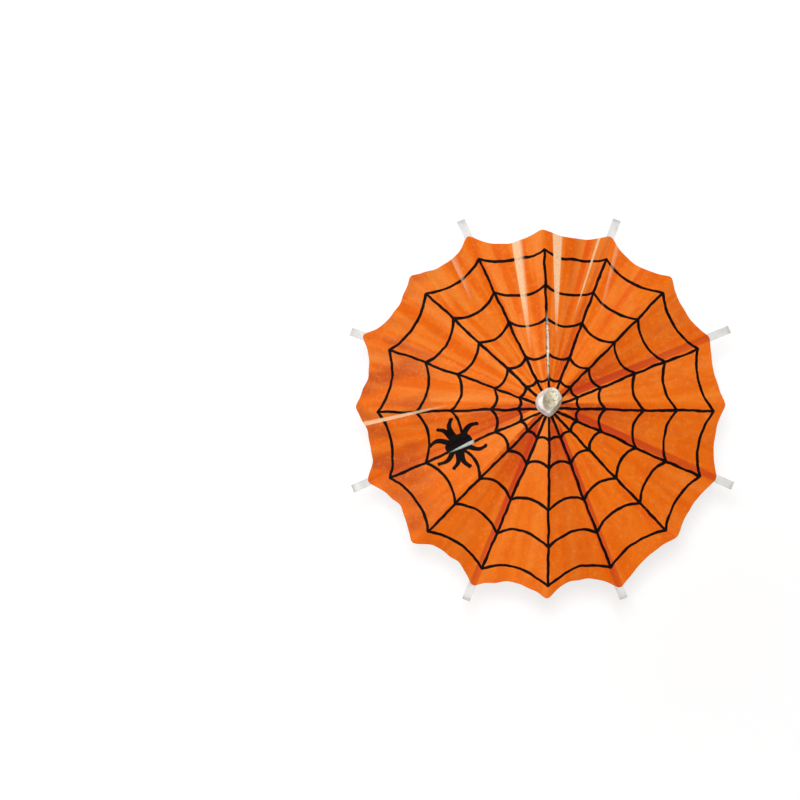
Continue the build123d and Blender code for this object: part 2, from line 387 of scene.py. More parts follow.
def makePrintedPaper():
    material, shader, point = newMaterial("printedPaper")
    flat = scaled(point, flatten)
    webInk, spiderInk = printedInk(flat)
    grain = useGroup(fibreGrain, Point=point, Fineness=1.0)
    radius = vecCalc("LENGTH", flat)
    heading = vecCalc("NORMALIZE", flat)
    turn = turnOf(flat)
    fromRib = minus(turn, math.radians(paperLook["ribTurn"]))

    def towardsWay(x, y, low, high, start, end):
        return fade(dot(heading, (x, y, 0.0)), low, high, start, end)

    # noise on a circle, drawn out along the radius
    def rays(count, drift):
        return shifted(scaled(heading, count), scaled(flat, drift))

    # broad streaks follow the pleats, plainer in the lower half; they are partly colour in the sheet and
    # partly painted pleat shade and painted highlight
    upper = towardsWay(0.3, 0.95, -0.6, 0.5, 0.65, 1.0)
    streak = speckle(rays(13.0, 0.03), 1.0, 1.0, 0.4)
    bend = scaled(speckle(flat, 0.12, 1.0, colour=True), 1.2)
    brush = speckle(shifted(rays(12.0, 0.08), bend), 1.0)
    colour = blendColour(fade(grain["Cloud"], 0.35, 0.7), paperLook["orange"], paperLook["warm"])
    for noise, low, high, tone, most in ((streak, 0.5, 0.66, "deep", 0.38), (streak, 0.46, 0.32, "glow", 0.22),
                                         (brush, 0.46, 0.3, "deep", 0.3), (brush, 0.54, 0.7, "glow", 0.26)):
        amount = times(fade(noise, low, high, 0.0, most), upper)
        colour = blendColour(amount, colour, paperLook[tone])
    # painted highlight: paler patches towards the light
    paintedSheen = times(towardsWay(-0.6, 0.8, 0.0, 0.9, 0.08, 0.46), fade(streak, 0.58, 0.42),
                  fade(grain["Fleck"], 0.3, 0.65, 0.45, 1.0))
    colour = blendColour(paintedSheen, colour, paperLook["glow"])

    # painted shade and painted light: every second facet leans from the light and is painted deeper, the
    # others paler, most of all near the middle
    lean = fade(calc("SINE", times(fromRib, 8.0)), -0.25, 0.25, 0.0, 2.0)
    aslant = calc("SINE", minus(turn, math.radians(paperLook["bright"])))
    lean = times(minus(lean, 1.0), aslant, towardsWay(0.2, -0.98, -0.9, 0.3, 0.3, 1.0))
    away = times(fade(lean, -0.05, -0.75), fade(radius, 6.0, 28.0, 0.8, 0.1))
    towards = times(fade(lean, 0.1, 0.9), fade(radius, 5.0, 24.0, 0.55, 0.1))
    colour = blendColour(away, colour, paperLook["lee"])
    colour = blendColour(towards, colour, paperLook["glow"])
    # darker brown patches towards the left edge of the sheet
    brownPatchNoise = fade(speckle(scaled(flat, (0.6, 1.4, 1.0)), 0.13, 1.0, 0.4), 0.4, 0.66)
    leftBrownPatches = times(fade(splitAxes(flat)["X"], -22.0, -38.0, 0.0, 0.8), brownPatchNoise)
    colour = blendColour(leftBrownPatches, colour, paperLook["umber"])
    # painted fold shade and painted highlight patches, broken up by a speckle
    foldBreakup = fade(grain["Fleck"], 0.3, 0.6, 0.75, 1.0)
    colour = paintFans(flat, colour, foldShades, foldBreakup)
    # flecks where the colour is thin
    thin = fade(speckle(point, 0.85, 4.0, 0.75), 0.5, 0.7, 0.0, 0.42)
    colour = blendColour(thin, colour, paperLook["glow"])

    # painted shade: the card rib's shadow shows through as a dark stripe, strongest where the sheet turns from
    # the light
    aside = calc("SINE", calc("PINGPONG", fromRib, math.radians(paperLook["ribTurn"])))
    ribShadowBand = times(fade(times(radius, aside), 0.68, 1.08, 1.0, 0.0),
                 fade(radius, 4.5, 8.0), fade(radius, 14.0, 42.0, 1.0, 0.68),
                 towardsWay(0.707, -0.707, -0.95, 0.35, 0.04, 0.9))
    colour = blendColour(ribShadowBand, colour, paperLook["shade"])
    mottle = fade(grain["Fleck"], 0.25, 0.75, 0.92, 1.05)
    colour = blendColour(1.0, colour, mottle, "MULTIPLY")
    missing = fade(speckle(point, 1.7, 3.0, 0.7), 0.71, 0.77, 0.0, 0.8)
    inkHere = calc("MAXIMUM", times(webInk, minus(1.0, missing)), spiderInk)
    colour = blendColour(inkHere, colour, paperLook["ink"])
    # painted glare fans and a painted glint over the ink, broken up by a speckle
    speckling = fade(speckle(point, 2.6, 3.0, 0.7), 0.3, 0.62, 0.6, 1.0)
    colour = paintFans(flat, colour, foldFans, speckling)
    chipped = fade(speckle(point, 1.5, 4.0, 0.75), 0.38, 0.56, 0.35, 1.0)
    colour = paintFans(flat, colour, ridgeRub, chipped)
    # the paper is glazed, the ink on it is not
    glaze = times(fade(streak, 0.65, 0.35, 0.04, 0.15), minus(1.0, inkHere))
    finishLook(shader, colour, fade(grain["Cloud"], 0.3, 0.7, 0.42, 0.56),
               (plus(grain["Height"], times(streak, 1.2)), 0.35, 0.06),
               {"Specular IOR Level": paperLook["specular"], "Coat Weight": glaze,
                "Coat Roughness": paperLook["coatRoughness"]})
    return material


# Plain underside: paler, with the print coming through a little
plainLook = dict(pale=(0.95, 0.4, 0.11, 1), warm=(0.9, 0.3, 0.06, 1), through=(0.25, 0.07, 0.02, 1),
                 strength=0.42)


def makePlainPaper():
    material, shader, point = newMaterial("plainPaper")
    ink = chain("MAXIMUM", printedInk(scaled(point, flatten)))
    grain = useGroup(fibreGrain, Point=point, Fineness=1.0)
    colour = blendColour(fade(grain["Cloud"], 0.3, 0.7), plainLook["pale"], plainLook["warm"])
    colour = blendColour(times(ink, plainLook["strength"]), colour, plainLook["through"])
    mottle = fade(grain["Fleck"], 0.25, 0.75, 0.9, 1.08)
    colour = blendColour(1.0, colour, mottle, "MULTIPLY")
    finishLook(shader, colour, fade(grain["Fleck"], 0.3, 0.7, 0.62, 0.8),
               (grain["Height"], 0.4, 0.06), {"Specular IOR Level": 0.3})
    return material


# Stiff white card of the ribs and stretchers, greyer and fuzzy at the cut ends
cardLook = dict(white=(0.78, 0.765, 0.735, 1), grey=(0.64, 0.625, 0.6, 1), soil=(0.42, 0.4, 0.37, 1),
                fleck=(0.55, 0.52, 0.48, 1), soiledFrom=50.2, soiledTo=51.4)


def makeStripCard():
    material, shader, point = newMaterial("stripCard")
    grain = useGroup(fibreGrain, Point=point, Fineness=1.6)
    reach = vecCalc("LENGTH", scaled(point, flatten))
    colour = blendColour(fade(grain["Cloud"], 0.3, 0.7), cardLook["white"], cardLook["grey"])
    soil = times(fade(reach, cardLook["soiledFrom"], cardLook["soiledTo"]),
                 fade(grain["Fleck"], 0.35, 0.65, 0.25, 0.85))
    colour = blendColour(soil, colour, cardLook["soil"])
    colour = blendColour(fade(grain["Fleck"], 0.6, 0.78, 0.0, 0.4), colour, cardLook["fleck"])
    finishLook(shader, colour, fade(grain["Cloud"], 0.3, 0.7, 0.6, 0.78), (grain["Height"], 0.5, 0.05))
    return material


woods = dict(pickWood=dict(pale=(0.78, 0.62, 0.41, 1), dark=(0.66, 0.47, 0.27, 1), pore=(0.38, 0.25, 0.13, 1),
                           fineness=1.0, roughness=(0.5, 0.66)),
             notchedWood=dict(pale=(0.74, 0.6, 0.4, 1), dark=(0.6, 0.45, 0.27, 1), pore=(0.36, 0.25, 0.14, 1),
                              fineness=1.4, roughness=(0.55, 0.7)))


def makeWood(name):
    wood = woods[name]
    material, shader, point = newMaterial(name)
    grain = useGroup(woodGrain, Point=point, Fineness=wood["fineness"])
    colour = blendColour(grain["Stripe"], wood["pale"], wood["dark"])
    colour = blendColour(times(grain["Pore"], 0.7), colour, wood["pore"])
    finishLook(shader, colour, fade(grain["Stripe"], 0.0, 1.0, *wood["roughness"]),
               (grain["Height"], 0.5, 0.05))
    return material


# Whittled bead: a turned lozenge cut by slanting flats, the last of them on top and dished by a gouge
bead = dict(base=94.11, bellyHeight=2.4, radius=3.65, height=5.2, sharpness=44, rings=100, turns=180,
            profile=((2.5, 0.0), (3.65, 1.7), (3.65, 3.1), (2.6, 5.2)),
            flats=((-40, 15, 1.35), (-128, 10, 0.68), (128, 20, 1.1), (156, 6, 0.58), (180, 4, 0.44),
                   (-160, 8, 0.5), (-9, 8, 0.7), (30, 8, 0.3), (100, 8, 0.3), (195, 60, 0.9),
                   (77, 80, 1.6)),  # azimuth, tilt, depth
            dishLength=5.6, dishWidth=3.6, dishDepth=0.5, chatter=0.05, crumb=0.22, crumbOutside=0.1,
            sharpAngle=50)
beadLook = dict(pale=(0.93, 0.9, 0.8, 1), cloud=(0.82, 0.76, 0.7, 1), lilac=(0.74, 0.62, 0.67, 1),
                dull=(0.42, 0.36, 0.26, 1), pith=(0.72, 0.67, 0.48, 1), fibre=(0.55, 0.49, 0.34, 1),
                wall=(0.32, 0.26, 0.17, 1), litCream=(0.88, 0.86, 0.64, 1), crumb=(0.4, 0.28, 0.22, 1),
                pore=(0.46, 0.42, 0.3, 1), stain=(0.4, 0.34, 0.24, 1))


# Outward, level and climbing directions of a flat
def flatAxes(turn, tilt):
    a, t = math.radians(turn), math.radians(tilt)
    out = Vector((math.cos(t) * math.cos(a), math.cos(t) * math.sin(a), math.sin(t)))
    level = Vector((-math.sin(a), math.cos(a), 0.0))
    return out, level, level.cross(out)


# Pale pith, creamy in the dish, with painted grey shade on the side away from the light and lilac towards the
# lower left and underneath
def makeBeadWood():
    material, shader, point = newMaterial("beadWood")
    local = vecCalc("SUBTRACT", point, (0.0, 0.0, bead["base"] + bead["bellyHeight"]))
    way = vecCalc("NORMALIZE", local)
    grain = useGroup(woodGrain, Point=local, Fineness=0.8)
    fibre = useGroup(fibreGrain, Point=point, Fineness=2.2)
    out, level, climb = flatAxes(*bead["flats"][-1][:2])
    aside, along = dot(local, tuple(level)), dot(local, tuple(climb))
    oval = joinAxes(X=calc("DIVIDE", aside, bead["dishWidth"] / 2),
                    Y=calc("DIVIDE", along, bead["dishLength"] / 2))
    inside = times(fade(vecCalc("LENGTH", oval), 0.9, 1.12, 1.0, 0.0),
                   fade(dot(way, tuple(out)), 0.3, 0.5))
    colour = blendColour(fade(fibre["Cloud"], 0.35, 0.65), beadLook["pale"], beadLook["cloud"])
    # lilac towards the lower left and underneath, and painted grey shade on the side away from the light
    for tone, side, low, high in (("lilac", (-0.35, -0.75, -0.45), 0.1, 0.65),
                                  ("dull", (0.85, -0.3, 0.1), 0.2, 0.75)):
        amount = fade(dot(way, side), low, high, 0.0, 0.85)
        colour = blendColour(amount, colour, beadLook[tone])
    # the dish: painted shade, brown, on its steep left wall and painted light, creamy, on the right
    hollow = plus(times(aside, 0.8), times(along, -0.4))
    pith = blendColour(fade(fibre["Fleck"], 0.35, 0.65), beadLook["pith"], beadLook["fibre"])
    pith = blendColour(fade(hollow, 0.0, 1.3, 0.0, 0.8), pith, beadLook["wall"])
    pith = blendColour(fade(hollow, -0.3, -1.2, 0.0, 0.85), pith, beadLook["litCream"])
    crumbs = fade(speckle(point, 1.5, 3.0, 0.65), 0.47, 0.62, 0.0, 0.8)
    pith = blendColour(crumbs, pith, beadLook["crumb"])
    colour = blendColour(inside, colour, pith)
    colour = blendColour(times(grain["Pore"], 0.3), colour, beadLook["pore"])
    stain = fade(speckle(point, 1.1, 3.0, 0.6), 0.52, 0.68, 0.0, 0.6)
    colour = blendColour(stain, colour, beadLook["stain"])
    knife = speckle(scaled(point, (1.0, 0.45, 2.6)), 1.6)
    finishLook(shader, colour, fade(fibre["Fleck"], 0.3, 0.7, 0.42, 0.62),
               (plus(knife, times(fibre["Height"], 0.4)), 1.0, 0.3), {"Specular IOR Level": 0.3})
    return material


def makeTwine():
    material, shader, point = newMaterial("cottonTwine")
    fibre = useGroup(fibreGrain, Point=point, Fineness=6.0)
    pale, dark = (0.82, 0.78, 0.68, 1), (0.62, 0.57, 0.47, 1)
    colour = blendColour(fade(fibre["Fleck"], 0.3, 0.7), pale, dark)
    finishLook(shader, colour, fade(fibre["Cloud"], 0.3, 0.7, 0.7, 0.9), (fibre["Height"], 0.5, 0.02),
               {"Sheen Weight": 0.3})
    return material


# Scrap print paper of the sleeve: grey rows that say nothing
scrapLook = dict(pale=(0.74, 0.7, 0.6, 1), dark=(0.62, 0.58, 0.48, 1), mark=(0.2, 0.2, 0.2, 1), rowPitch=0.9,
                 radius=1.8, rowSlant=0.08)


def makeScrapPaper():
    material, shader, point = newMaterial("scrapPaper")
    fibre = useGroup(fibreGrain, Point=point, Fineness=1.4)
    height = splitAxes(point)["Z"]
    around = times(turnOf(point), scrapLook["radius"])
    slanted = plus(height, times(around, scrapLook["rowSlant"]))
    row = calc("PINGPONG", slanted, scrapLook["rowPitch"] / 2)
    line = calc("FLOOR", calc("DIVIDE", height, scrapLook["rowPitch"]))
    spot = joinAxes(X=times(around, 2.2), Y=line)
    broken = fade(speckle(spot, 1.3, 1.0), 0.4, 0.46)
    mark = times(fade(row, 0.1, 0.18, 1.0, 0.0), broken, 0.6)
    colour = blendColour(fade(fibre["Cloud"], 0.3, 0.7), scrapLook["pale"], scrapLook["dark"])
    colour = blendColour(mark, colour, scrapLook["mark"])
    finishLook(shader, colour, fade(fibre["Fleck"], 0.3, 0.7, 0.7, 0.88), (fibre["Height"], 0.5, 0.05))
    return material


def makeRingPlastic():
    material, shader, point = newMaterial("ringPlastic")
    fibre = useGroup(fibreGrain, Point=point, Fineness=1.2)
    pale, dark = (0.84, 0.84, 0.81, 1), (0.76, 0.76, 0.72, 1)
    colour = blendColour(fade(fibre["Cloud"], 0.3, 0.7), pale, dark)
    finishLook(shader, colour, fade(fibre["Fleck"], 0.3, 0.7, 0.28, 0.42),
               (speckle(point, 1.5), 0.15, 0.05),
               {"Subsurface Weight": 0.25, "Subsurface Radius": (0.001, 0.001, 0.0009)})
    return material


printedPaper = makePrintedPaper()
plainPaper = makePlainPaper()
stripCard = makeStripCard()
pickWood = makeWood("pickWood")
notchedWood = makeWood("notchedWood")
beadWood = makeBeadWood()
cottonTwine = makeTwine()
scrapPaper = makeScrapPaper()
ringPlastic = makeRingPlastic()
print("materials made")


def putObject(name, data):
    piece = bpy.data.objects.new(name, data)
    bpy.context.scene.collection.objects.link(piece)
    return piece


def addPiece(name, points, faces, materials, kinds=None):
    mesh = bpy.data.meshes.new(name)
    mesh.from_pydata([tuple(axis * mm for axis in point) for point in points], [], faces)
    for material in materials:
        mesh.materials.append(material)
    if kinds:
        mesh.polygons.foreach_set("material_index", kinds)
    return putObject(name, mesh)


def finishShell(piece, sharp=40):
    shell = bmesh.new()
    shell.from_mesh(piece.data)
    bmesh.ops.recalc_face_normals(shell, faces=shell.faces)
    for face in shell.faces:
        face.smooth = True
    shell.to_mesh(piece.data)
    shell.free()
    piece.data.set_sharp_from_angle(angle=math.radians(sharp))


def bakeMesh(piece):
    depsgraph = bpy.context.evaluated_depsgraph_get()
    return bpy.data.meshes.new_from_object(piece.evaluated_get(depsgraph))


def dress(piece, body, node):
    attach(piece, body)
    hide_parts(node)


# Paper canopy: sixteen facets of one pleated sheet, valleys on the ribs and ridges between them
canopy = dict(ribs=8, firstRib=22.5, apex=93.9565, valleySlope=17.0, pleatRise=10.0, tipRadius=46.5,
              innerRadius=2.95, valleyReach=47.1, ridgeReach=46.3, offCentre=(-0.35, -1.05), tipRounding=2.0,
              roundingSteps=8, thickness=0.1, creaseTaper=0.35, softFold=0.5, columns=30, rows=60,
              edgeShares=(0.0, 0.006, 0.014, 0.024), crinkle=0.42, crinkledSide=140, ripple=0.16,
              rippleScale=0.11, seed=5)
# Fine pleats across a facet: their heights, where they start and how they are spaced, and how far they stray
pleats = dict(heights=(0.75, -0.55, 0.85, -0.7, 0.5), first=0.22, spacing=0.148, stray=0.035,
              size=(0.5, 1.25), plain=(0.1, 0.955))
# Cut by hand: how far each tip stands out and how hollow the edge after it is, from +X round to it again
tipTrims = (-0.7, -0.5, 0.5, 1.0, -0.7, 1.1, 1.1, 1.4, 0.7, -0.2, 0.4, -0.2, 0.5, 1.3, -0.7, 0.0)
scallopSags = (1.1, 2.1, 2.8, 1.9, 3.2, 3.0, 2.8, 2.6, 2.6, 3.1, 3.4, 2.7, 4.0, 1.5, 1.5, 2.0)
rimWaves = ((0.16, 23, 0.8), (0.14, 41, 2.1), (0.08, 67, 0.0))  # size, waves round the rim, phase

slope = math.radians(canopy["valleySlope"])
lift = math.radians(canopy["pleatRise"])
sector = math.pi / canopy["ribs"]
facetAngle = math.atan2(math.tan(sector) * math.cos(slope),
                        math.cos(lift) - math.tan(sector) * math.sin(slope) * math.sin(lift))
ridgeSlope = math.asin(math.sin(slope) * math.cos(facetAngle)
                       - math.cos(slope) * math.sin(lift) * math.sin(facetAngle))
climb = (math.tan(slope) * math.cos(sector) - math.tan(ridgeSlope)) / math.sin(sector)


def ribHeading(number):
    return math.radians(canopy["firstRib"]) + 2 * sector * (number - 1)


# Height of the folded sheet below its apex, turn measured from the valley
def foldHeight(radius, turn):
    return radius * (climb * math.sin(turn) - math.tan(slope) * math.cos(turn))


# Crease tips, ridges on even places; the sheet sits a little off its centre
def tipRadius(place):
    heading = sector * place
    reach = canopy["ridgeReach"] if place % 2 == 0 else canopy["valleyReach"]
    reach += tipTrims[place % len(tipTrims)]
    return reach + canopy["offCentre"][0] * math.cos(heading) + canopy["offCentre"][1] * math.sin(heading)


# Edge before its tips are rounded: one hollow arc from tip to tip
def arcRadius(heading):
    first = math.floor(heading / sector)
    ends = [Vector((math.cos(sector * place), math.sin(sector * place))) * tipRadius(place)
            for place in (first, first + 1)]
    sag = scallopSags[first % len(scallopSags)]
    bow = bowRadius((ends[1] - ends[0]).length / 2, sag)
    inward = Vector((ends[0].y - ends[1].y, ends[1].x - ends[0].x)).normalized()
    centre = (ends[0] + ends[1]) / 2 - inward * (bow - sag)
    ahead = Vector((math.cos(heading), math.sin(heading))).dot(centre)
    return ahead - math.sqrt(max(0.0, ahead ** 2 - centre.length_squared + bow ** 2))


def rimRadius(heading):
    steps = canopy["roundingSteps"]
    total = weights = 0.0
    for step in range(-steps, steps + 1):
        weight = 1 + math.cos(math.pi * step / (steps + 1))
        total += weight * arcRadius(heading + math.radians(canopy["tipRounding"]) * step / steps)
        weights += weight
    loose = 0.3 + 0.7 * smooth(-math.cos(heading - 0.4), -0.5, 0.9)
    wave = sum(size * math.sin(waves * heading + phase) for size, waves, phase in rimWaves)
    return total / weights + loose * wave


# The pleats alternate from facet to facet, so that folded facets nest
def pleatProfile(number, side):
    dice = random.Random(canopy["seed"] * 100 + number * 2 + (side > 0))
    kinks = [(0.0, 0.0), (pleats["plain"][0], 0.0)]
    for step, height in enumerate(pleats["heights"]):
        place = pleats["first"] + pleats["spacing"] * step + dice.uniform(-pleats["stray"], pleats["stray"])
        kinks.append((place, side * height * dice.uniform(*pleats["size"])))
    return kinks + [(pleats["plain"][1], 0.0), (1.0, 0.0)]


def profileAt(kinks, share):
    for (a, low), (b, high) in zip(kinks, kinks[1:]):
        if share <= b:
            t = (share - a) / (b - a)
            return low + (high - low) * (t + smooth(t, 0.0, 1.0)) / 2
    return 0.0


def buildFacet(number, side, label):
    kinks = pleatProfile(number, side)
    edges, columns, rows = list(canopy["edgeShares"]), canopy["columns"], canopy["rows"]
    inner = [edges[-1] + (1 - 2 * edges[-1]) * step / columns for step in range(1, columns)]
    shares = edges + inner + [1 - edge for edge in reversed(edges)]
    count = len(shares)
    middle = ribHeading(number) + side * sector / 2
    towards = math.cos(middle - math.radians(canopy["crinkledSide"]))
    crinkle = canopy["crinkle"] * (0.3 + 0.7 * smooth(towards, -0.7, 0.8))
    rims = [rimRadius(ribHeading(number) + side * share * sector) for share in shares]
    top, bottom = [], []
    for row in range(rows + 1):
        for share, rim in zip(shares, rims):
            turn = share * sector
            heading = ribHeading(number) + side * turn
            radius = canopy["innerRadius"] + (rim - canopy["innerRadius"]) * row / rows
            x, y = radius * math.cos(heading), radius * math.sin(heading)
            z = canopy["apex"] + foldHeight(radius, turn)
            scale = radius / canopy["tipRadius"]
            rise = radius * climb * math.sin(sector)
            z -= canopy["softFold"] * rise * math.sin(2 * math.pi * share) / (2 * math.pi)
            z += crinkle * scale * profileAt(kinks, share)
            calm = smooth(share, 0.1, 0.3) * smooth(1 - share, 0.0, 0.2)
            spot = Vector((x * canopy["rippleScale"], y * canopy["rippleScale"], number * 3.7 + side))
            z += calm * canopy["ripple"] * scale * field.noise(spot)
            fromValley, fromRidge = radius * math.sin(turn), radius * math.sin(sector - turn)
            ridgeTaper = 1 - smooth(fromRidge, 0.0, canopy["creaseTaper"])
            valleyTaper = smooth(fromValley, 0.0, canopy["creaseTaper"])
            bottom.append((x, y, z + canopy["thickness"] * ridgeTaper))
            top.append((x, y, z + canopy["thickness"] * valleyTaper))
    points = top + bottom

    # the two sides share their points along both creases
    def under(index):
        return index if index % count in (0, count - 1) else len(top) + index

    faces, kinds = [], []

    def addFace(corners, kind):
        kept = [corner for place, corner in enumerate(corners) if corner != corners[place - 1]]
        faces.append(kept if side > 0 else kept[::-1])
        kinds.append(kind)

    for row in range(rows):
        for column in range(count - 1):
            a, b = row * count + column, row * count + column + 1
            c, d = b + count, a + count
            addFace([a, d, c, b], 0)
            addFace([under(b), under(c), under(d), under(a)], 1)
    for column in range(count - 1):
        a, b = column, column + 1
        addFace([a, b, under(b), under(a)], 1)
        a, b = rows * count + column, rows * count + column + 1
        addFace([b, a, under(a), under(b)], 1)
    used = sorted({corner for face in faces for corner in face})
    place = {old: new for new, old in enumerate(used)}
    faces = [[place[corner] for corner in face] for face in faces]
    piece = addPiece(f"paper_{number}_{label}", [points[old] for old in used], faces,
                     [printedPaper, plainPaper], kinds)
    finishShell(piece)
    return piece


for number in range(1, canopy["ribs"] + 1):
    for side, label in ((1, "left"), (-1, "right")):
        facet = buildFacet(number, side, label)
        panel = f"paper_panel_{number}_{label}"
        dress(facet, panel, panel)
print("canopy folded")

# Middle of the sheet, pinched under the bead
crown = dict(inner=1.08, outer=3.75, lift=0.235, thickness=0.06, rows=7, columns=12)


def buildCrown():
    columns = 2 * canopy["ribs"] * crown["columns"]
    points = []
    for level in (crown["thickness"], 0.0):
        for row in range(crown["rows"] + 1):
            radius = crown["inner"] + (crown["outer"] - crown["inner"]) * row / crown["rows"]
            for column in range(columns):
                heading = math.radians(canopy["firstRib"]) + 2 * math.pi * column / columns
                turn = abs((column / crown["columns"] + 1) % 2 - 1) * sector
                z = canopy["apex"] + crown["lift"] + foldHeight(radius, turn) + level
                points.append((radius * math.cos(heading), radius * math.sin(heading), z))
    total = len(points) // 2
    last = crown["rows"] * columns
    faces, kinds = [], []
    for row in range(crown["rows"]):
        for column in range(columns):
            a, b = row * columns + column, row * columns + (column + 1) % columns
            quad = [a, a + columns, b + columns, b]
            faces += [quad, [total + corner for corner in reversed(quad)]]
            kinds += [0, 1]
    for column in range(columns):
        a, b = column, (column + 1) % columns
        faces += [[a, b, total + b, total + a], [last + b, last + a, total + last + a, total + last + b]]
        kinds += [1, 1]
    piece = addPiece("paper_crown", points, faces, [printedPaper, plainPaper], kinds)
    finishShell(piece)
    return piece


dress(buildCrown(), "stem", "canopy_crown")
print("crown pinched")


def buildBead():
    belly, turns, rings = bead["bellyHeight"], bead["turns"], bead["rings"]
    cuts = [(Vector((0.0, 0.0, -1.0)), belly), (Vector((0.0, 0.0, 1.0)), bead["height"] - belly)]
    cuts += [(flatAxes(turn, tilt)[0], bead["radius"] - depth) for turn, tilt, depth in bead["flats"]]
    sides = []
    for (r0, z0), (r1, z1) in zip(bead["profile"], bead["profile"][1:]):
        length = math.hypot(r1 - r0, z1 - z0)
        wide, up = (z1 - z0) / length, -(r1 - r0) / length
        sides.append((wide, up, wide * r0 + up * (z0 - belly)))
    # the gouge swings on an arc, so its cut is part of a ring
    dishTurn, dishTilt, dishCut = bead["flats"][-1]
    out, level, climb = flatAxes(dishTurn, dishTilt)
    deep = bead["dishDepth"]
    swing, blade = bowRadius(bead["dishLength"] / 2, deep), bowRadius(bead["dishWidth"] / 2, deep)
    pivot = out * (bead["radius"] - dishCut + swing - deep)

    def inGouge(spot):
        gap = spot - pivot
        return math.hypot(math.hypot(gap.dot(out), gap.dot(climb)) - swing + blade, gap.dot(level)) < blade

    def surface(way):
        total = 0.0
        for normal, reach in cuts:
            total += max(0.0, way.dot(normal) / reach) ** bead["sharpness"]
        for wide, up, reach in sides:
            total += max(0.0, (wide * math.hypot(way.x, way.y) + up * way.z) / reach) ** bead["sharpness"]
        size = total ** (-1 / bead["sharpness"])
        crumb = bead["crumb"] * bead["crumbOutside"]
        if inGouge(way * size):
            crumb = bead["crumb"]
            near, far = 0.0, size
            for halving in range(24):
                half = (near + far) / 2
                near, far = (near, half) if inGouge(way * half) else (half, far)
            size = near
        rough = field.noise(Vector((way.x * 3.1, way.y * 3.1, way.z * 5.2))) + 0.5 * field.noise(way * 9.0)
        rough = bead["chatter"] * rough + crumb * field.noise(way * 11.0)
        return way * (size + rough * smooth(way.z, -0.9, -0.3))

    points = []
    for ring in range(1, rings):
        fall = math.pi * ring / rings
        for step in range(turns):
            a = 2 * math.pi * step / turns
            way = Vector((math.sin(fall) * math.cos(a), math.sin(fall) * math.sin(a), math.cos(fall)))
            points.append(surface(way))
    points += [surface(Vector((0, 0, 1))), surface(Vector((0, 0, -1)))]
    faces = []
    for ring in range(rings - 2):
        for step in range(turns):
            a, b = ring * turns + step, ring * turns + (step + 1) % turns
            faces.append([a, a + turns, b + turns, b])
    low = (rings - 2) * turns
    for step in range(turns):
        faces.append([step, (step + 1) % turns, len(points) - 2])
        faces.append([low + (step + 1) % turns, low + step, len(points) - 1])
    centre = Vector((0, 0, bead["base"] + belly))
    piece = addPiece("whittled_bead", [point + centre for point in points], faces, [beadWood])
    finishShell(piece, bead["sharpAngle"])
    return piece


dress(buildBead(), "stem", "cap")
print("bead whittled")

# Twisted thread: two plies wound round any closed loop
thread = dict(plyRadius=0.056, plyOffset=0.05, pitch=0.62, step=0.055, plySides=6)


def finishTree(tree, given, result, shape):
    whole = useNode(tree, "GeometryNodeRealizeInstances", dict(Geometry=shape))
    painted = useNode(tree, "GeometryNodeSetMaterial", dict(Geometry=whole, Material=given["Material"]))
    feed(result[0], painted)
    return tree


def makeTwistTree():
    inputs = dict(Geometry="Geometry", PlyRadius="Float", PlyOffset="Float", Turns="Float", Step="Float",
                  LoopAxis="Vector", Material="Material")
    tree, given, result = newGroup("twistedThread", inputs, dict(Geometry="Geometry"), "Geometry")
    loop = useNode(tree, "GeometryNodeResampleCurve", dict(Curve=given["Geometry"], Length=given["Step"]),
                   mode="LENGTH")
    along = tree.nodes.new("GeometryNodeSplineParameter").outputs["Factor"]
    tangent = tree.nodes.new("GeometryNodeInputTangent").outputs[0]
    sideways = vecCalc("NORMALIZE", vecCalc("CROSS_PRODUCT", tangent, given["LoopAxis"]))
    wind = times(along, given["Turns"], 2 * math.pi)
    ring = useNode(tree, "GeometryNodeCurvePrimitiveCircle",
                   dict(Resolution=thread["plySides"], Radius=given["PlyRadius"]))
    join = tree.nodes.new("GeometryNodeJoinGeometry")
    for phase in (0.0, math.pi):
        angle = plus(wind, phase)
        across = scaled(sideways, calc("COSINE", angle))
        upright = scaled(given["LoopAxis"], calc("SINE", angle))
        offset = scaled(shifted(across, upright), given["PlyOffset"])
        ply = useNode(tree, "GeometryNodeSetPosition", dict(Geometry=loop, Offset=offset))
        tube = useNode(tree, "GeometryNodeCurveToMesh", {"Curve": ply, "Profile Curve": ring})
        tree.links.new(tube, join.inputs[0])
    return finishTree(tree, given, result, join.outputs[0])


def runTree(name, source, tree, **values):
    modifier = source.modifiers.new("build", "NODES")
    modifier.node_group = tree
    for item in tree.interface.items_tree:
        if item.in_out == "INPUT" and item.name in values:
            modifier[item.identifier] = values[item.name]
    mesh = bakeMesh(source)
    bpy.data.objects.remove(source)
    mesh.name = name
    for face in mesh.polygons:
        face.use_smooth = True
    return putObject(name, mesh)


def loopCurve(points):
    curve = bpy.data.curves.new("threadLoop", "CURVE")
    curve.dimensions = "3D"
    line = curve.splines.new("POLY")
    line.points.add(len(points) - 1)
    for spot, point in zip(line.points, points):
        spot.co = (*(axis * mm for axis in point), 1)
    line.use_cyclic_u = True
    return putObject("threadLoop", curve)


twistTree = makeTwistTree()


def twist(name, points, axis, node, body):
    length = sum((Vector(points[step]) - Vector(points[step - 1])).length for step in range(len(points)))
    piece = runTree(name, loopCurve(points), twistTree, PlyRadius=thread["plyRadius"] * mm,
                    PlyOffset=thread["plyOffset"] * mm, Turns=float(round(length / thread["pitch"])),
                    Step=thread["step"] * mm, LoopAxis=axis, Material=cottonTwine)
    dress(piece, body, node)


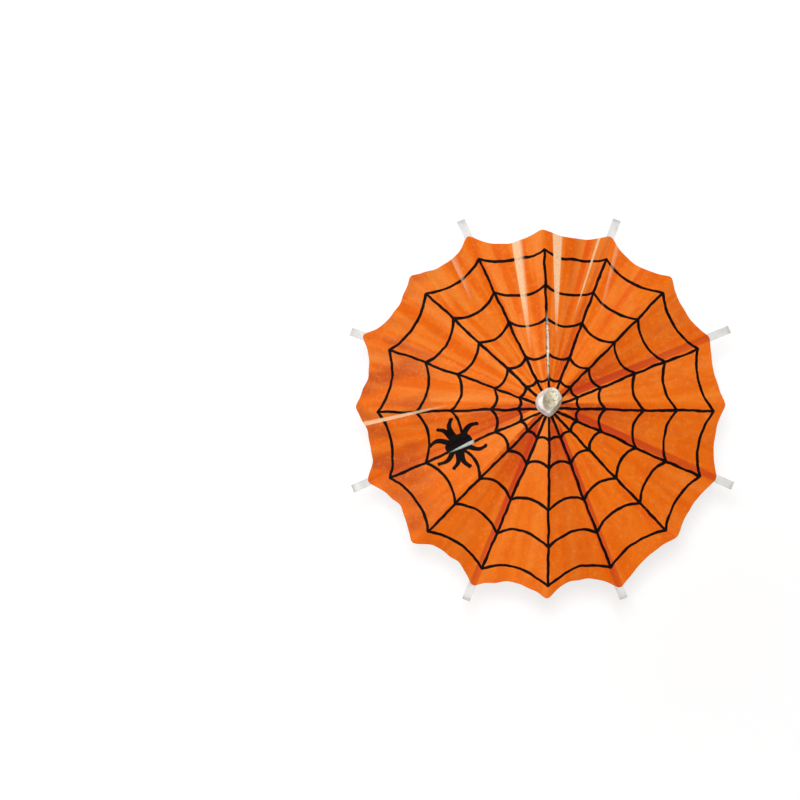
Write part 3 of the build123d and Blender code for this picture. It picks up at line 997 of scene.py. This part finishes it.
# Linkage sizes, as the ribs and stretchers have them
linkage = dict(hingeRadius=2.0, hubHeight=93.0, runnerHeight=79.8707, tieDistance=20.0, tieDrop=0.75,
               tieSide=0.86, tieTop=0.16)
for name, height, node, body in (("hub_twine", linkage["hubHeight"], "hub_thread", "stem"),
                                 ("runner_twine", linkage["runnerHeight"], "runner_thread", "runner")):
    corner = linkage["hingeRadius"] / math.cos(sector)
    headings = [ribHeading(number + 0.5) for number in range(1, canopy["ribs"] + 1)]
    ring = [(corner * math.cos(heading), corner * math.sin(heading), height) for heading in headings]
    twist(name, ring, (0.0, 0.0, 1.0), node, body)

for number in range(1, canopy["ribs"] + 1):
    heading = ribHeading(number)
    out = Vector((math.cos(heading), math.sin(heading), 0))
    side = Vector((-out.y, out.x, 0))
    runDown = out * math.cos(slope) + Vector((0, 0, -math.sin(slope)))
    above = out * math.sin(slope) + Vector((0, 0, math.cos(slope)))
    hinge = out * linkage["hingeRadius"] + Vector((0, 0, linkage["hubHeight"]))
    start = hinge + runDown * linkage["tieDistance"]
    top, drop = linkage["tieTop"], -linkage["tieDrop"]
    loop = [tuple(start + side * linkage["tieSide"] * across + above * level)
            for across, level in ((1, top), (-1, top), (-1, drop), (1, drop))]
    twist(f"rib_twine_{number}", loop, tuple(runDown), f"rib_thread_{number}", f"rib_{number}")
print("threads twisted")

# Sleeve: a strip of scrap paper rolled round the pick
sleeve = dict(startRadius=1.1, endRadius=1.81, turns=3.2, bottom=67.87, length=10.0, sheet=0.075, steps=72)


def makeRollTree():
    inputs = dict(Geometry="Geometry", StartRadius="Float", EndRadius="Float", Rolls="Float", Length="Float",
                  Bottom="Vector", Material="Material")
    tree, given, result = newGroup("rolledStrip", inputs, dict(Geometry="Geometry"), "Geometry")
    spiral = useNode(tree, "GeometryNodeCurveSpiral",
                     {"Resolution": sleeve["steps"], "Height": 0.0, "Rotations": given["Rolls"],
                      "Start Radius": given["StartRadius"], "End Radius": given["EndRadius"]})
    wire = useNode(tree, "GeometryNodeCurveToMesh", dict(Curve=spiral))
    upwards = addNode(tree, "FunctionNodeInputVector", vector=(0.0, 0.0, 1.0)).outputs[0]
    strip = useNode(tree, "GeometryNodeExtrudeMesh",
                    {"Mesh": wire, "Offset": upwards, "Offset Scale": given["Length"]}, mode="EDGES")
    placed = useNode(tree, "GeometryNodeSetPosition", dict(Geometry=strip, Offset=given["Bottom"]))
    return finishTree(tree, given, result, placed)


def buildSleeve():
    source = addPiece("rollSource", [(0, 0, 0)], [], [])
    piece = runTree("rolled_sleeve", source, makeRollTree(), StartRadius=sleeve["startRadius"] * mm,
                    EndRadius=sleeve["endRadius"] * mm, Rolls=sleeve["turns"], Length=sleeve["length"] * mm,
                    Bottom=(0.0, 0.0, sleeve["bottom"] * mm), Material=scrapPaper)
    wall = piece.modifiers.new("wall", "SOLIDIFY")
    wall.thickness = sleeve["sheet"] * mm
    wall.offset = 0.0
    wall.use_even_offset = True
    mesh = bakeMesh(piece)
    piece.modifiers.remove(wall)
    piece.data = mesh
    finishShell(piece)
    return piece


dress(buildSleeve(), "runner", "paper_sleeve")
print("sleeve rolled")

# CAD pieces that keep their own shape get their finish
finishes = {"stem": pickWood, "top_hub": notchedWood, "runner": notchedWood, "retaining_ring": ringPlastic}
for number in range(1, canopy["ribs"] + 1):
    finishes[f"rib_{number}"] = stripCard
    finishes[f"stretcher_{number}"] = stripCard
for node, material in finishes.items():
    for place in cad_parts[node].material_slots:
        place.material = material
print("finishes set")

# Pale floor under the point of the pick; it glows a little where it is seen
floorLook = dict(size=6.0, level=-0.0003, glow=0.56, strength=1.11, cool=(0.94, 0.94, 0.95, 1),
                 plain=(0.96, 0.96, 0.96, 1), roughness=0.9)


def buildFloor():
    half = floorLook["size"] / 2 / mm
    level = floorLook["level"] / mm
    material, shader, point = newMaterial("paleFloor")
    tree = material.node_tree
    tone = blendColour(speckle(point, 0.004), floorLook["cool"], floorLook["plain"])
    feedNamed(shader.inputs, {"Base Color": tone, "Roughness": floorLook["roughness"]})
    glow = useNode(tree, "ShaderNodeEmission", dict(Color=(1, 1, 1, 1), Strength=floorLook["strength"]))
    path = tree.nodes.new("ShaderNodeLightPath").outputs
    kinds = ("Is Camera Ray", "Is Glossy Ray", "Is Transmission Ray")
    seen = chain("MAXIMUM", [path[kind] for kind in kinds])
    both = useNode(tree, "ShaderNodeMixShader",
                   {0: times(seen, floorLook["glow"]), 1: shader.outputs[0], 2: glow})
    feed(tree.nodes["Material Output"].inputs["Surface"], both)
    corners = [(x * half, y * half, level) for x, y in ((-1, -1), (1, -1), (1, 1), (-1, 1))]
    addPiece("floor", corners, [[0, 1, 2, 3]], [material])


buildFloor()

# Soft studio light: a sky that is dim overhead, a wide soft box at the upper left, a small one near the camera
light = dict(sky=0.72, overhead=0.1, dimFrom=0.5, dimTo=0.8, aim=(0, 0, 0.085),
             lamps=dict(boxLamp=dict(power=1.7, size=0.6, place=(-0.36, 0.38, 0.62)),
                        fillLamp=dict(power=3.6, size=0.055, place=(-0.08, -0.03, 0.86))))
world = bpy.data.worlds.new("studioSky")
world.use_nodes = True
sky = world.node_tree
height = splitAxes(sky.nodes.new("ShaderNodeTexCoord").outputs["Generated"])["Z"]
brightness = fade(height, light["dimFrom"], light["dimTo"], light["sky"], light["overhead"])
feedNamed(sky.nodes["Background"].inputs, dict(Color=(1, 1, 1, 1), Strength=brightness))
bpy.context.scene.world = world
for name, lamp in light["lamps"].items():
    source = bpy.data.lights.new(name, "AREA")
    source.energy = lamp["power"]
    source.size = lamp["size"]
    holder = putObject(name, source)
    holder.location = Vector(lamp["place"])
    holder.rotation_euler = (Vector(light["aim"]) - holder.location).to_track_quat("-Z", "Y").to_euler()

# Camera almost over the canopy, with the apex where the photograph has it in an 800 by 800 frame
shot = dict(pitch=5.25, yaw=5.69, roll=-0.91, distance=770.0, scale=4.0832, apexPixel=(548.2, 402.8),
            frame=800, sensor=36.0, clip=(0.01, 50))
p, w, r = (math.radians(shot[key]) for key in ("pitch", "yaw", "roll"))
toCamera = Vector((-math.sin(w) * math.cos(p), -math.sin(p), math.cos(w) * math.cos(p)))
right = Vector((0, 1, 0)).cross(toCamera).normalized()
up = toCamera.cross(right)
right, up = right * math.cos(r) + up * math.sin(r), up * math.cos(r) - right * math.sin(r)
focal = shot["scale"] * shot["distance"]
aside, below = ((pixel - shot["frame"] / 2) / focal for pixel in shot["apexPixel"])
ahead = (-toCamera - right * aside + up * below).normalized()
right = ahead.cross(up).normalized()
up = right.cross(ahead)
camera = putObject("camera", bpy.data.cameras.new("camera"))
camera.data.sensor_width = shot["sensor"]
camera.data.lens = focal / shot["frame"] * shot["sensor"]
camera.data.clip_start, camera.data.clip_end = shot["clip"]
camera.matrix_world = Matrix((right, up, -ahead)).transposed().to_4x4()
camera.location = (Vector((0, 0, canopy["apex"])) + toCamera * shot["distance"]) * mm
bpy.context.scene.camera = camera
bpy.context.scene.view_settings.view_transform = "Standard"
print("camera and lights set")

bpy.context.view_layer.update()
